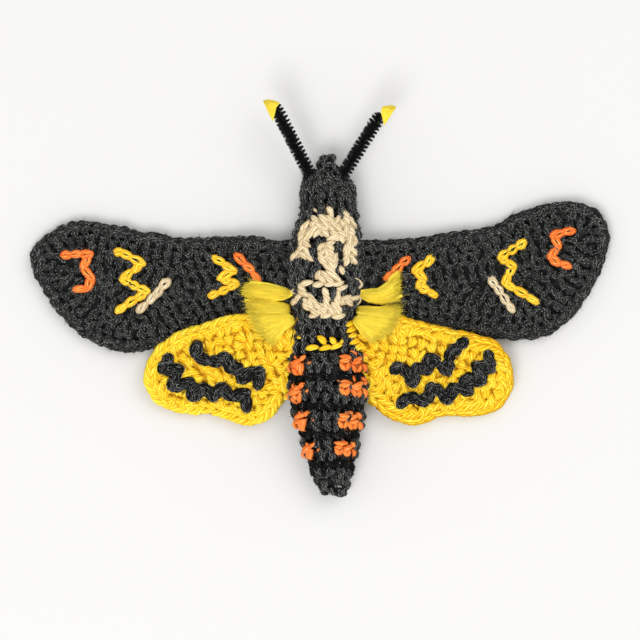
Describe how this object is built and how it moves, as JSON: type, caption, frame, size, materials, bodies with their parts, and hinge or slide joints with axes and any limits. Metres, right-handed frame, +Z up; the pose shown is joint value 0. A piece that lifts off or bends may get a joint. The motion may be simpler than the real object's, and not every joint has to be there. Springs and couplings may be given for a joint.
{
  "type": "crocheted toy hawkmoth",
  "caption": "Stuffed crochet toy of a death's-head hawkmoth lying flat with wings spread, with chain-stitched marks, a pale skull on the thorax and chenille antennae.",
  "frame": {"origin": "on the ground under the middle of the moth's box", "axes": "+X across the wings to the moth's right as seen from above with the head up, +Y towards the head, +Z up through the back"},
  "size_m": [0.2207, 0.1516, 0.0247],
  "materials": {
    "charcoal_wool": "fuzzy heathered wool yarn, crocheted",
    "black_yarn": "matt yarn, crocheted",
    "yellow_cotton": "smooth plied cotton, crocheted",
    "orange_cotton": "smooth plied cotton, chain stitched",
    "cream_cotton": "smooth plied cotton, crocheted",
    "roving_yellow": "loose combed roving",
    "chenille_black": "chenille stem pile"
  },
  "bodies": {
    "root": {"head": "charcoal_wool", "thorax": "charcoal_wool", "abdomen": "charcoal_wool", "forewing_left": "charcoal_wool", "forewing_right": "charcoal_wool", "hindwing_left": "yellow_cotton", "hindwing_right": "yellow_cotton", "antenna_left": "chenille_black", "antenna_right": "chenille_black", "antenna_tip_left": "roving_yellow", "antenna_tip_right": "roving_yellow", "tuft_left_1": "roving_yellow", "tuft_left_2": "roving_yellow", "tuft_left_3": "roving_yellow", "tuft_right_1": "roving_yellow", "tuft_right_2": "roving_yellow", "tuft_right_3": "roving_yellow", "mark_orange_outer_left": "orange_cotton", "mark_yellow_outer_left": "yellow_cotton", "mark_cream_left": "cream_cotton", "mark_yellow_inner_left": "yellow_cotton", "mark_orange_inner_left": "orange_cotton", "mark_orange_outer_right": "orange_cotton", "mark_yellow_outer_right": "yellow_cotton", "mark_cream_right": "cream_cotton", "mark_yellow_inner_right": "yellow_cotton", "mark_orange_inner_right": "orange_cotton", "band_upper_left": "charcoal_wool", "band_lower_left": "charcoal_wool", "band_upper_right": "charcoal_wool", "band_lower_right": "charcoal_wool", "skull_mark": "cream_cotton", "waist_braid": "yellow_cotton", "orange_patch_left_1": "orange_cotton", "orange_patch_left_2": "orange_cotton", "orange_patch_left_3": "orange_cotton", "orange_patch_left_4": "orange_cotton", "orange_patch_right_1": "orange_cotton", "orange_patch_right_2": "orange_cotton", "orange_patch_right_3": "orange_cotton", "orange_patch_right_4": "orange_cotton"}
  },
  "joints": []
}
